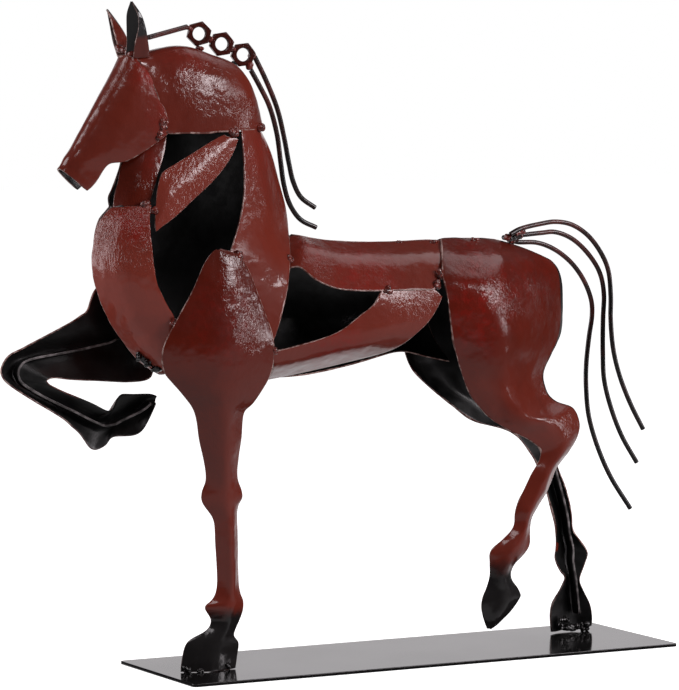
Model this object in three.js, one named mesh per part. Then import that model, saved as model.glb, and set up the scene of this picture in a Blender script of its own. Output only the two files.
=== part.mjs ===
// A trotting horse welded together from hammered steel sheets, on a flat steel base plate.
// Millimetres, +Z up. The horse faces -X, its near (left) side is towards -Y, and the origin
// is the middle of the underside of the base plate. The horse's own middle plane is y = 0.
import * as THREE from 'three';

// Driving dimensions
const BASE_LENGTH = 330;
const BASE_WIDTH = 100;
const BASE_THICKNESS = 2;
const BASE_CORNER = 2.5;
const SHEET = 1.0;          // thickness of every hammered sheet
const RIB = 1.4;            // thickness of the stiffening strips in the legs
const WIRE = 3.0;           // diameter of the mane and tail rods
const RIB_GAP = 1.3;        // what stays open between a strip and the sheet it is tacked into
const NUT_FLATS = 13;       // an M8 hexagon nut
const NUT_HOLE = 8;
const NUT_HEIGHT = 4.5;
const NUT_TURN = 14;        // degrees that the row of nuts is turned towards the front
const SEAM = 0.8;           // half the open line along the back and the breast, in y

const NEAR = -1;            // sign of y on the near side
const FAR = 1;

// Finishes
const redPaint = () => new THREE.MeshStandardMaterial({ color: 0x6b2a22, roughness: 0.35, metalness: 0.1 });
const blackPaint = () => new THREE.MeshStandardMaterial({ color: 0x141414, roughness: 0.4, metalness: 0.1 });
const weldPaint = () => new THREE.MeshStandardMaterial({ color: 0x4a2a26, roughness: 0.4, metalness: 0.2 });

const horse = new THREE.Group();

function add(name, geometry, material) {
  const mesh = new THREE.Mesh(geometry, material);
  mesh.name = name;
  horse.add(mesh);
  return mesh;
}

const vector = ([x, y, z]) => new THREE.Vector3(x, y, z);
const mirrored = (row) => row.map(([x, y, z]) => [x, -y, z]);

// A sheet is a net of points: each row runs across it, and the rows follow one another along it.
// The rows are hand-placed stations, and splines fill the net between and across them.
function net(rows, across, steps) {
  const wide = rows.map((row) => {
    const curve = new THREE.CatmullRomCurve3(row.map(vector), false, 'catmullrom', 0.5);
    return Array.from({ length: across + 1 }, (_, j) => curve.getPoint(j / across));
  });
  const columns = Array.from({ length: across + 1 }, (_, j) =>
    new THREE.CatmullRomCurve3(wide.map((row) => row[j]), false, 'catmullrom', 0.5));
  const count = (rows.length - 1) * steps;
  return Array.from({ length: count + 1 }, (_, i) => columns.map((curve) => curve.getPoint(i / count)));
}

// The direction square to the net at each of its points.
function normals(grid) {
  const last = grid.length - 1;
  const side = grid[0].length - 1;
  return grid.map((row, i) => row.map((_, j) => {
    const along = grid[Math.min(i + 1, last)][j].clone().sub(grid[Math.max(i - 1, 0)][j]);
    const across = row[Math.min(j + 1, side)].clone().sub(row[Math.max(j - 1, 0)]);
    return along.cross(across).normalize();
  }));
}

// A closed body: the net's two faces, half the thickness to either side, and the cut edge round them.
function plate(grid, thickness) {
  const directions = normals(grid);
  const rows = grid.length;
  const columns = grid[0].length;
  const positions = [];
  for (const side of [0.5, -0.5]) {
    grid.forEach((row, i) => row.forEach((point, j) => {
      positions.push(...point.clone().addScaledVector(directions[i][j], side * thickness).toArray());
    }));
  }
  const at = (side, i, j) => side * rows * columns + i * columns + j;
  const index = [];
  const quad = (a, b, c, d) => index.push(a, b, c, a, c, d);
  for (let i = 0; i < rows - 1; i += 1) {
    for (let j = 0; j < columns - 1; j += 1) {
      quad(at(0, i, j), at(0, i + 1, j), at(0, i + 1, j + 1), at(0, i, j + 1));
      quad(at(1, i, j), at(1, i, j + 1), at(1, i + 1, j + 1), at(1, i + 1, j));
    }
  }
  const rim = [];
  for (let j = 0; j < columns - 1; j += 1) rim.push([0, j]);
  for (let i = 0; i < rows - 1; i += 1) rim.push([i, columns - 1]);
  for (let j = columns - 1; j > 0; j -= 1) rim.push([rows - 1, j]);
  for (let i = rows - 1; i > 0; i -= 1) rim.push([i, 0]);
  rim.forEach(([i, j], k) => {
    const [ni, nj] = rim[(k + 1) % rim.length];
    quad(at(0, i, j), at(0, ni, nj), at(1, ni, nj), at(1, i, j));
  });
  const geometry = new THREE.BufferGeometry();
  geometry.setAttribute('position', new THREE.Float32BufferAttribute(positions, 3));
  geometry.setIndex(index);
  geometry.computeVertexNormals();
  return geometry;
}

const sheet = (rows, across = 4, steps = 2) => plate(net(rows, across, steps), SHEET);

// A row across a hollow sheet: two edge points, and a crest between them pushed out sideways by
// the swell. The crest lies at this share of the way from the first edge to the second.
function swell([ax, ay, az], [bx, by, bz], out, share = 0.5) {
  const between = (a, b) => a + (b - a) * share;
  return [[ax, ay, az], [between(ax, bx), between(ay, by) + out, between(az, bz)], [bx, by, bz]];
}

// A row across a sheet folded over the middle plane: from the near edge over the ridge to the far
// edge, along a rounded arch. square sets how full the arch is, and bow moves its flanks in x.
function arch([ridgeX, ridgeZ], [edgeX, edgeY, edgeZ], square, bow = 0, points = 12) {
  const row = [];
  for (let k = 0; k <= points; k += 1) {
    const turn = (k / points - 0.5) * Math.PI;
    const down = 1 - Math.cos(turn) ** (2 / square);
    const side = Math.abs(Math.sin(turn)) ** (2 / square) * Math.sign(turn);
    row.push([
      ridgeX + (edgeX - ridgeX) * down + bow * 4 * down * (1 - down),
      Math.abs(edgeY) * side,
      ridgeZ + (edgeZ - ridgeZ) * down,
    ]);
  }
  return row;
}

// Base plate: a flat rectangle with small round corners.
function basePlate() {
  const x = BASE_LENGTH / 2;
  const y = BASE_WIDTH / 2;
  const r = BASE_CORNER;
  const outline = new THREE.Shape();
  outline.moveTo(-x + r, -y);
  outline.absarc(x - r, -y + r, r, -Math.PI / 2, 0);
  outline.absarc(x - r, y - r, r, 0, Math.PI / 2);
  outline.absarc(-x + r, y - r, r, Math.PI / 2, Math.PI);
  outline.absarc(-x + r, -y + r, r, Math.PI, Math.PI * 1.5);
  return new THREE.ExtrudeGeometry(outline, { depth: BASE_THICKNESS, bevelEnabled: false, curveSegments: 4 });
}

// Head: one sheet folded along the nose, open below the jaw and at the muzzle.
function face() {
  const stations = [
    [[-185, 362], [-179.5, -9, 360]],
    [[-189.8, 353.3], [-173.5, -12, 350.5]],
    [[-195.7, 343.7], [-167.5, -14, 336.5]],
    [[-202.6, 332.7], [-163.5, -14.5, 325]],
    [[-208.1, 323.7], [-163.5, -14, 317]],
    [[-213.1, 315.7], [-177, -12.5, 308]],
    [[-217.7, 308.3], [-190, -10.5, 301.5]],
    [[-221.3, 303.8], [-199, -9, 300]],
    [[-223.5, 300], [-205, -7.5, 291.5]],
    [[-225.7, 297.5], [-211, -6.5, 285]],
  ];
  return sheet(stations.map(([ridge, edge]) => arch(ridge, edge, 2.6)), 10, 1);
}

// Crest: one sheet folded over the top of the neck, from the poll to the first mane rods.
function crest() {
  const stations = [
    [[-180, 362.5], [-160, -15, 318.5], 7],
    [[-171, 364], [-154, -16, 318], 4],
    [[-158, 366.8], [-147, -17, 318], 1],
    [[-144.5, 367], [-139.5, -17.5, 318], 0],
    [[-133.5, 363.5], [-132.5, -18, 318.5], 0],
    [[-122.5, 360], [-126, -18, 318.7], 0],
    [[-111, 353], [-119.5, -17.5, 319], 0],
    [[-103.5, 340], [-111.5, -15, 319], 0],
    [[-99.8, 329.5], [-104.5, -11, 319.2], 0],
    [[-97, 321.8], [-98.5, -6, 319.4], 0],
  ];
  return sheet(stations.map(([ridge, edge, bow]) => arch(ridge, edge, 2.8, bow)), 10, 1);
}

// Ears: cupped leaves, open to the front and outwards. Each row is the outer edge, the spine
// and the inner edge, from the base to the tip.
const nearEarRows = [
  [[-183, -10, 361], [-172.5, -9.5, 361.8], [-184.5, -3.5, 363.5]],
  [[-183.5, -14, 370], [-175, -12.5, 369], [-185, -6, 370.5]],
  [[-183, -17, 378], [-178, -15.5, 377.5], [-186.5, -9, 379]],
  [[-183.5, -17.5, 385.5], [-181.5, -16.5, 385.5], [-187.5, -11.5, 386.5]],
  [[-186.2, -15.3, 393], [-186.2, -15, 393], [-186.9, -14.7, 393]],
];
const farEarRows = [
  [[-183, 10.5, 361], [-173, 9.5, 361], [-184.5, 3.8, 363.5]],
  [[-184, 15, 370], [-175.5, 12, 369], [-185.5, 7, 370.5]],
  [[-184.5, 17.2, 377], [-178, 14.5, 376], [-186.5, 9.5, 378]],
  [[-185.8, 17.4, 383.5], [-182.6, 15.8, 383], [-187, 12, 384]],
  [[-187.9, 15.2, 388.5], [-187.6, 15, 388.5], [-188.2, 14.8, 388.5]],
];

// Throat: two narrow sheets that leave a slot open at the front, narrow at the top.
const nearThroatRows = [
  [[-184.5, -4.5, 306.5], [-174, -9.5, 313], [-162, -9.8, 317.3]],
  [[-188.5, -4.5, 298], [-177.5, -11.5, 303], [-165, -12.7, 306.5]],
  [[-190.5, -4.5, 288], [-181, -13.5, 290.5], [-170.8, -15.3, 292.5]],
  [[-194.5, -4.5, 276], [-185.5, -14.5, 277.5], [-175.8, -17.2, 279]],
];
const farThroatRows = [
  [[-185, 0.8, 304], [-174, 9, 313], [-162, 9.8, 317.3]],
  [[-187.2, 2, 294.5], [-177.5, 11, 301], [-165, 12.7, 306.5]],
  [[-191, 3.5, 284], [-181, 13, 288.5], [-170.8, 15.3, 292.5]],
  [[-194, 4.5, 276], [-185.5, 14.5, 277.5], [-175.8, 17.2, 279]],
];

// Breast: two bowed sheets that meet at the keel. Keel edge first, then the rear edge.
const chestRows = [
  [[-193.5, -4, 274.5], [-187, -14, 275.5], [-177.3, -20, 276.5]],
  [[-201.5, -2, 266], [-192.5, -15.5, 266.5], [-180, -23, 267]],
  [[-204.8, -SEAM, 249], [-195.5, -18, 250], [-180.5, -27, 251]],
  [[-203.8, -SEAM, 233], [-194, -19.5, 234], [-179, -29, 234.5]],
  [[-196, -SEAM, 212.5], [-187.5, -20, 216.5], [-173, -30, 220]],
  [[-188.5, -SEAM, 201], [-180.5, -19.5, 205], [-167, -30, 209.5]],
  [[-176.5, -SEAM, 186.5], [-172.5, -18, 190.5], [-164.5, -28.5, 196]],
  [[-162.5, -SEAM, 177], [-163.5, -15, 179.5], [-164.5, -25, 184]],
];
const KEEL_STEP = 1.2;      // the far breast sheet starts this far behind the near one
const farChestRows = chestRows.map(mirrored).map(([keel, middle, rear]) => [
  [keel[0] + KEEL_STEP, keel[1], keel[2]], [middle[0] + KEEL_STEP, middle[1], middle[2]], rear]);

// Neck band: a strip laid slanting over the open side of the neck.
const neckBandRows = [
  swell([-129.5, -16.5, 315.5], [-119.5, -17.5, 313.5], -0.5),
  swell([-141, -17.5, 310], [-124.5, -18.5, 304], -1),
  swell([-154, -18, 303], [-135.5, -20, 291.5], -1.5),
  swell([-165.5, -18.3, 297], [-149, -21, 280.5], -2),
  swell([-170, -19, 293], [-156.5, -21.5, 274.5], -2),
  swell([-173, -20.2, 284], [-165.5, -22.5, 268], -1.5),
  swell([-174.8, -21.7, 272.5], [-172, -23, 264], -0.6),
  swell([-175.8, -23, 264.5], [-175.2, -23.2, 261.5], 0),
];

// Withers strip: from the crest down the rear of the neck and under the shoulder.
const withersRows = [
  swell([-117, -17.5, 317.5], [-96.5, -5, 317.5], -2.5),
  swell([-116.5, -18.5, 305.5], [-91, -3, 305], -3),
  swell([-117, -20.5, 291], [-85.5, -1.5, 289.5], -4),
  swell([-119, -23, 276.5], [-80.5, -1.4, 272.5], -4.5),
  swell([-124.5, -26, 260.5], [-78.5, -1.2, 258], -5),
  swell([-129.5, -28, 249.5], [-84, -14, 248], -4),
  swell([-132, -29, 238.5], [-88.5, -22, 238], -2.5),
  swell([-131.5, -29.5, 227], [-93, -27, 224], -1.5),
  swell([-128.5, -30, 210.5], [-98.5, -29, 207.5], -1),
  swell([-121.5, -29, 194.5], [-104, -28.5, 193], -0.5),
  swell([-114.5, -26.5, 183], [-109, -26.5, 183], 0),
];

// Back: from the ridge of the back down to the flank.
const backRows = [
  [[-82.5, -SEAM, 253.2], [-87.5, -11, 244.5], [-92, -18, 236]],
  [[-72, -SEAM, 255.2], [-76.5, -14.5, 249], [-82.5, -23, 238.5]],
  [[-64, -SEAM, 253.5], [-67, -17, 246.5], [-74.5, -28, 231.5]],
  [[-53, -SEAM, 252], [-55.5, -18.5, 243.5], [-62, -30, 226]],
  [[-39, -SEAM, 250.5], [-41.5, -19, 241.5], [-47, -30.5, 224]],
  [[-19.5, -SEAM, 250], [-23, -19, 241], [-30, -31, 223.5]],
  [[0, -SEAM, 250], [-4, -19, 241], [-12.5, -31, 223.5]],
  [[24, -SEAM, 250.3], [15, -19, 241], [5.5, -30.5, 223]],
];

// Flank band: sweeps from under the back panel down and forward under the belly.
const flankRows = [
  swell([-24, -30.5, 221.5], [9.5, -30.5, 218.5], -0.3),
  swell([-36.5, -31.5, 216], [2.5, -30.5, 207], -1),
  swell([-53, -31, 204], [-8.5, -28, 196], -2.5),
  swell([-65, -30, 198], [-20.5, -20, 187], -4),
  swell([-82.5, -29, 193.5], [-44.5, -9, 180], -5),
  swell([-97, -28, 190.5], [-73, -5, 174.5], -5.5),
  swell([-103.5, -27.5, 189.5], [-93, -4, 171.5], -5.5),
];

// Far side of the neck and shoulder: one plain sheet.
const farNeckRows = [
  [[-160, 13, 317], [-134, 18, 316.5], [-96.5, 5, 317]],
  [[-168, 15.5, 300], [-130, 21, 299], [-89.5, 2.5, 300]],
  [[-173.5, 18.5, 280], [-129, 24.5, 278], [-83, 2.2, 280]],
  [[-175.5, 22.5, 263], [-130, 28, 260], [-79.5, 2.2, 262]],
  [[-176, 26.5, 243], [-132, 30.5, 241], [-86.5, 20, 242]],
  [[-172, 28.5, 224], [-131, 31, 222], [-92.5, 27.5, 223]],
  [[-163, 28.5, 205], [-131, 31, 204], [-99, 28.5, 204]],
  [[-157, 26, 188], [-131, 28.5, 187], [-105, 26.5, 188]],
];

// Far side of the barrel: one plain sheet from the ridge of the back down to the belly.
const farBarrelRows = [
  [[-75, SEAM, 256], [-82.5, 20, 241], [-89, 28.5, 222], [-94.5, 26.5, 198], [-98, 14, 180], [-97, 1, 172]],
  [[-53, SEAM, 252], [-58, 20, 243], [-62, 31, 222], [-66, 29, 197], [-67, 15, 178], [-67, -2, 173]],
  [[-22, SEAM, 250], [-26, 20, 242], [-28, 31.5, 221], [-29, 30, 199], [-29, 20, 184], [-29, 4, 178]],
  [[0, SEAM, 250], [-3, 20, 241.5], [-4, 31, 221], [-2, 30, 204], [2, 25, 191], [6, 17, 182.5]],
  [[21.5, SEAM, 249.9], [13, 19, 240.2], [8, 29.3, 221.5], [14, 29.5, 203], [20, 27, 189], [27, 20.5, 178.5]],
  [[30, 8, 244.5], [27, 18, 235.5], [26, 27, 219], [31, 28, 203], [37, 26.5, 187], [45, 22, 174.5]],
];

// Girth: closes the underside between the forelegs.
const girthRows = [
  [[-159.5, -23, 183], [-159, 0, 177.5], [-159.5, 23, 183]],
  [[-135, -24, 182], [-133, 0, 174.5], [-135, 24, 182]],
  [[-108, -23, 180.5], [-100, 0, 173], [-108, 23, 180.5]],
];

// Near foreleg with the shoulder, one hollow sheet that stands on the base. Front edge, rear
// edge and how far the middle swells outwards, from the top of the shoulder to the hoof.
const nearForelegRows = [
  swell([-143, -34, 250.5], [-138, -34, 251], -0.5),
  swell([-149, -34, 244], [-126, -34, 245], -2.5),
  swell([-156.5, -34, 228.5], [-117, -34.5, 226.5], -5),
  swell([-164, -34, 216], [-111.5, -34.5, 213.5], -6.5),
  swell([-171.5, -34, 203.5], [-106.5, -34.5, 200.5], -7.5),
  swell([-175.5, -33, 194], [-105, -33.5, 187.5], -8),
  swell([-174.5, -31.5, 183], [-107, -32, 176], -8),
  swell([-168, -29.5, 174.5], [-113.5, -30.5, 165], -8),
  swell([-158.5, -28, 165], [-118, -28, 158.5], -7.5),
  swell([-151.5, -26, 155], [-121, -26, 153.5], -7),
  swell([-147.5, -23, 140], [-121, -23, 138.5], -6.5),
  swell([-141.5, -19, 119.5], [-121.5, -19, 119.5], -6),
  swell([-142.5, -17, 110.5], [-118, -17, 109.5], -6),
  swell([-142, -16, 102], [-117, -16, 103], -6),
  swell([-134.5, -15, 91.5], [-119.5, -15, 95.5], -5.5),
  swell([-132.5, -13.5, 73.5], [-118.5, -13.5, 72.5], -5.5),
  swell([-131, -11.5, 49.5], [-116.5, -11.5, 50], -5),
  swell([-137, -11, 41.5], [-114, -11, 43], -5),
  swell([-137, -10.5, 37.5], [-114, -10.5, 36.5], -5),
  swell([-134, -10, 32], [-116.5, -10, 29.5], -4.5),
  swell([-137.5, -10, 25.5], [-119.5, -10, 22], -4.5),
  swell([-147.5, -9, 20.5], [-116.5, -10, 17.5], -5),
  swell([-151.5, -8.5, 12.5], [-117.5, -10, 9.5], -5.5),
  swell([-153, -8, 2.5], [-118.5, -10, 2.5], -6),
];

// Far foreleg with its shoulder: raised and folded at the knee. Upper edge, lower edge, swell.
const farForelegRows = [
  swell([-143, 34, 250.5], [-138, 34, 251], 0.5),
  swell([-151, 34, 244], [-127, 34, 243], 2.5),
  swell([-162, 34, 237], [-120, 34, 228], 4.5),
  swell([-174, 33.5, 232], [-116, 34, 212], 5.5),
  swell([-183, 32, 229], [-129.5, 33, 193.5], 6),
  swell([-188, 30, 226], [-139.5, 32, 186.5], 6.5),
  swell([-192, 28.5, 221], [-148, 31, 181], 6.5),
  swell([-195.5, 27, 213.5], [-152.5, 30, 176], 6.5, 0.45),
  swell([-199.5, 26.5, 210.8], [-157, 29, 171.5], 6.5, 0.42),
  swell([-203.5, 26, 208.5], [-173, 28, 171], 6.5, 0.42),
  swell([-213.5, 25, 204], [-190, 26, 172.5], 6, 0.42),
  swell([-230, 24, 197], [-208, 24, 174], 5.5, 0.36),
  swell([-240.5, 23, 192.5], [-218, 23, 175.5], 5, 0.31),
  swell([-248.5, 22, 189], [-223, 22, 175], 4.5, 0.3),
  swell([-253, 21.5, 182], [-224.5, 22, 174], 4.5, 0.33),
  swell([-252.5, 21, 177.5], [-224, 21.5, 172.5], 4.5, 0.34),
  swell([-248, 20.5, 172.5], [-222, 21, 171], 4.5, 0.33),
  swell([-232.5, 20, 162.5], [-213, 20, 166.5], 4.5, 0.35),
  swell([-216, 19.5, 152.5], [-200, 19.5, 161], 4.5, 0.41),
  swell([-209.5, 19, 147], [-193, 19, 157.5], 4.5, 0.47),
  swell([-204, 19, 142], [-187, 19, 154.5], 4.5, 0.53),
  swell([-199, 18.5, 135], [-183, 19, 156.5], 4, 0.55),
  swell([-194, 18, 133], [-180.5, 19, 161.5], 4, 0.49),
  swell([-187.5, 18, 136], [-178, 18.5, 163.5], 4, 0.42),
  swell([-182.5, 18, 140], [-173, 18, 163.5], 4, 0.42),
  swell([-169, 17.5, 140.5], [-166, 18, 163.5], 4, 0.6),
  swell([-161, 17.5, 148.5], [-160.5, 18, 163.5], 3.5, 0.7),
  swell([-156.5, 17.5, 157], [-155.5, 18, 162.5], 1),
];

// Rump, the same on both sides: front edge, middle, rear edge, from the ridge down to the thigh.
const rumpRows = [
  [[26.5, -SEAM, 250.7], [66, -SEAM, 248.5], [102, -SEAM, 236]],
  [[17.5, -17.5, 243], [58.5, -19, 240], [108, -SEAM, 227]],
  [[11, -29.5, 231], [50, -33, 227], [109.5, -SEAM, 216]],
  [[12, -33, 220.5], [50, -37.5, 211], [109.5, -SEAM, 205.5]],
  [[15.5, -33, 196.5], [51, -38.5, 192], [107.5, -3, 192]],
  [[20, -32.5, 179.5], [50.5, -37.5, 176], [98, -9, 180]],
];

// Near hind leg below the rump: lifted, its hoof clear of the base.
const nearHindRows = [
  [[27, -31, 163], [53, -36, 161], [89.5, -14, 169]],
  [[37, -29.5, 150.5], [59.5, -35, 152], [88, -17, 161]],
  [[49, -28, 141], [66, -33, 145.5], [90.5, -19, 154]],
  [[62.5, -27, 134.5], [78, -32, 141], [98, -21, 149.5]],
  swell([73.5, -26, 129.5], [105.5, -22, 146.5], -6.5),
  swell([82, -25, 123.5], [110, -23, 137], -6),
  swell([81, -24.5, 116.5], [106.5, -23, 125.5], -5.5),
  swell([76, -24, 108.5], [96, -23, 113.5], -5.5),
  swell([71, -23, 98], [87.5, -22, 97], -5),
  swell([66, -22, 85.5], [80, -21, 85.5], -5),
  swell([63.5, -21, 74], [77, -20, 74.5], -5),
  swell([51.5, -20.5, 64.5], [76.5, -19.5, 65], -5),
  swell([49.2, -20, 58], [71.5, -19.3, 58], -5),
  swell([49.2, -19.8, 53], [66, -19, 53], -5),
  swell([49, -19.5, 47], [64, -19, 45.5], -4.5),
  swell([47, -19, 39], [69, -18.5, 38.5], -5),
  swell([44, -19, 30.5], [71.5, -18, 33], -5),
  swell([45.5, -18.5, 22], [63, -18, 23.5], -4),
  swell([48.5, -18, 15.5], [52, -18, 16], -1),
];

// Far hind leg below the rump: pushes back and stands on the base.
const farHindRows = [
  [[23.5, 31, 170.5], [52, 36.5, 168], [97, 14, 168]],
  [[35.5, 30, 158.5], [60, 35, 156], [98, 18, 157]],
  [[50.5, 28.5, 147], [75, 33.5, 146.5], [106, 20, 148]],
  [[67.5, 27.5, 136], [91, 32.5, 138], [117, 21.5, 140.5]],
  swell([87.5, 26, 130.5], [124.5, 22.5, 132.5], 6),
  swell([97.5, 25, 123.5], [126.5, 22.5, 123], 5.5, 0.6),
  swell([103.5, 24.5, 116], [123.5, 22.5, 114.5], 5.5, 0.68),
  swell([109, 24, 107], [122.5, 22.5, 106], 5, 0.72),
  swell([114.5, 23, 91.5], [128.5, 22, 90.5], 5, 0.62),
  swell([119.5, 22, 74], [132.5, 22, 73], 5, 0.63),
  swell([121, 22, 65], [134, 22, 64.5], 5, 0.6),
  swell([120.5, 21.5, 55.5], [142, 21.5, 54], 5),
  swell([120, 21, 48.5], [142.5, 21, 47.5], 5, 0.48),
  swell([124.5, 21, 40], [139, 21, 39], 4.5, 0.52),
  swell([127, 21, 35], [138, 21, 32.5], 4.5, 0.55),
  swell([120.5, 21, 24.5], [144, 22, 22.5], 5, 0.61),
  swell([117, 21, 16], [148, 23, 12], 5.5, 0.64),
  swell([117.5, 21, 3], [148.5, 24, 4.5], 6, 0.66),
];

const legAcross = 4;

// A rib: a flat strip on edge along the hollow inside of a leg, between two of its stations.
function rib(rows, first, last, depth, side) {
  const inwards = -side;
  const root = SHEET / 2 + RIB_GAP;
  const strip = rows.slice(first, last + 1).map((row) => {
    const [x, y, z] = row[1];
    return [[x, y + inwards * root, z], [x, y + inwards * (root + depth), z]];
  });
  return plate(net(strip, 1, 1), RIB);
}

// A round rod along a smooth curve through hand-placed points, with closed ends.
function rod(points, steps) {
  const section = new THREE.Shape();
  section.absarc(0, 0, WIRE / 2, 0, Math.PI * 2);
  const path = new THREE.CatmullRomCurve3(points.map(vector), false, 'centripetal');
  return new THREE.ExtrudeGeometry(section, { steps, extrudePath: path, curveSegments: 4, bevelEnabled: false });
}

const maneRods = {
  mane_rod_near: [[-103, -2, 353], [-97.5, -2, 344], [-91, -2, 332], [-86, -2, 315.5], [-83.5, -2, 298.5],
    [-81.5, -2, 286], [-77.5, -2, 274], [-70.5, -2, 265], [-60, -2, 260]],
  mane_rod_far: [[-98.5, 2.2, 361], [-91, 2.2, 347], [-83.5, 2.2, 330], [-79, 2.2, 313], [-76, 2.2, 298.5],
    [-73, 2.2, 287], [-68, 2.2, 278], [-58.5, 2.2, 271.5]],
};

const tailRods = {
  tail_rod_top: [[72, -4.6, 252.8], [79, -4, 255.7], [93, -4, 258.4], [104, -4, 259.5], [115.5, -4, 257.5],
    [127, -4, 250.8], [136.5, -4, 240], [142, -4, 229], [144, -4, 213], [144, -4, 199], [146, -4, 180], [150.5, -4, 164],
    [158.5, -4, 146], [168, -4, 129.5]],
  tail_rod_middle: [[82, 0, 251.7], [96.5, 0, 252.7], [106, 0, 253], [118.5, 0, 248.5], [130.5, 0, 238.5],
    [138.5, 0, 227], [141.5, 0, 214.5], [141, 0, 198.5], [141, 0, 177], [142, 0, 161], [147, 0, 143.5],
    [155, 0, 125.5], [166, 0, 108.5]],
  tail_rod_low: [[82, 4, 247.3], [96, 4, 246.5], [108.5, 4, 242], [121, 4, 233], [130, 4, 221.5],
    [135, 4, 209.5], [135.5, 4, 200.5], [133.5, 4, 188], [131.5, 4, 170.5], [131.5, 4, 156], [133.5, 4, 138.5],
    [140, 4, 119], [149.5, 4, 100], [164, 4, 79.5]],
};

// Three hexagon nuts stand on the crest as a plaited mane. Each has its centre and how far its
// corners are turned.
const nuts = {
  mane_nut_front: { x: -136, z: 374.5, turn: 15 },
  mane_nut_middle: { x: -121.3, z: 368.5, turn: 9 },
  mane_nut_rear: { x: -107.3, z: 362.2, turn: 7 },
};

function nut(turn) {
  const outline = new THREE.Shape();
  const corner = NUT_FLATS / Math.sqrt(3);
  for (let k = 0; k < 6; k += 1) {
    const angle = THREE.MathUtils.degToRad(turn + 60 * k);
    const point = [corner * Math.cos(angle), corner * Math.sin(angle)];
    if (k === 0) outline.moveTo(...point);
    else outline.lineTo(...point);
  }
  outline.closePath();
  const hole = new THREE.Path();
  hole.absarc(0, 0, NUT_HOLE / 2, 0, Math.PI * 2, true);
  outline.holes.push(hole);
  const geometry = new THREE.ExtrudeGeometry(outline, { depth: NUT_HEIGHT, bevelEnabled: false, curveSegments: 16 });
  return geometry.translate(0, 0, -NUT_HEIGHT / 2);
}

// Weld lumps where rods, nuts and hooves are held. Centre and half sizes.
const welds = {
  mane_weld_front: [[-135.8, 0, 366.1], [2.2, 2.4, 0.8]],
  mane_weld_rear: [[-113.6, 0, 356.9], [1.5, 2, 0.7]],
  tail_weld: [[74.5, 0, 250.4], [6, 4, 1.8]],
  near_fore_weld: [[-128, -4.5, 5], [6, 3, 2.6]],
  far_hind_weld: [[132, 17.2, 5.5], [9, 3.4, 3.2]],
};

function weld([x, y, z], [rx, ry, rz]) {
  return new THREE.SphereGeometry(1, 10, 7).scale(rx, ry, rz).translate(x, y, z);
}

add('base_plate', basePlate(), blackPaint());
add('face', face(), redPaint());
add('crest', crest(), redPaint());
add('near_ear', sheet(nearEarRows, 6, 2), redPaint());
add('far_ear', sheet(farEarRows, 6, 2), redPaint());
add('near_throat', sheet(nearThroatRows), redPaint());
add('far_throat', sheet(farThroatRows), redPaint());
add('near_neck_band', sheet(neckBandRows, 4, 1), redPaint());
add('near_withers', sheet(withersRows, 4, 1), redPaint());
add('near_chest', sheet(chestRows), redPaint());
add('far_chest', sheet(farChestRows), redPaint());
add('near_back', sheet(backRows), redPaint());
add('near_flank', sheet(flankRows), redPaint());
add('far_neck', sheet(farNeckRows), redPaint());
add('far_barrel', sheet(farBarrelRows, 8, 2), redPaint());
add('girth', sheet(girthRows, 4, 3), redPaint());

const nearHindLeg = [...rumpRows, ...nearHindRows];
const farHindLeg = [...rumpRows.map(mirrored), ...farHindRows];
add('near_foreleg', sheet(nearForelegRows, legAcross, 1), redPaint());
add('far_foreleg', sheet(farForelegRows, legAcross, 1), redPaint());
add('near_hind_leg', sheet(nearHindLeg, legAcross, 1), redPaint());
add('far_hind_leg', sheet(farHindLeg, legAcross, 1), redPaint());
add('near_foreleg_rib', rib(nearForelegRows, 7, 21, 7, NEAR), blackPaint());
add('far_foreleg_rib', rib(farForelegRows, 7, 26, 6, FAR), blackPaint());
add('near_hind_rib', rib(nearHindLeg, 8, 22, 7, NEAR), blackPaint());
add('far_hind_rib', rib(farHindLeg, 12, 22, 7, FAR), blackPaint());

for (const [name, { x, z, turn }] of Object.entries(nuts)) {
  const mesh = add(name, nut(turn), redPaint());
  mesh.rotation.set(Math.PI / 2, THREE.MathUtils.degToRad(-NUT_TURN), 0, 'ZXY');
  mesh.position.set(x, 0, z);
}
for (const [name, points] of Object.entries(maneRods)) add(name, rod(points, 16), redPaint());
for (const [name, points] of Object.entries(tailRods)) add(name, rod(points, 22), redPaint());
add('forelock_rod', rod([[-173, -11.5, 372.8], [-145, -1, 378.3]], 1), redPaint());
for (const [name, [centre, size]] of Object.entries(welds)) add(name, weld(centre, size), weldPaint());

export default horse;
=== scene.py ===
# %% [markdown]
# # A horse welded from hammered steel sheet
#
# The real thing is a small garden-style sculpture: thin steel sheets are hammered into
# shells, tacked together with lumps of weld, painted a glossy red-brown outside and left
# black inside. Rods make the mane and tail, and three hexagon nuts stand on the crest.
#
# This lesson dresses a measured model of it. The solids give every sheet its true outline
# and place. Blender adds what a solid cannot show: dents, rounded cut edges, weld lumps,
# chamfered nuts and paint. Lengths are metres, so a millimetre gets a name of its own.

# %% Load the measured solids
import math
from functools import partial

import bmesh
import bpy
import numpy as np
from mathutils import Matrix, Vector
from mathutils.bvhtree import BVHTree


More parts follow.
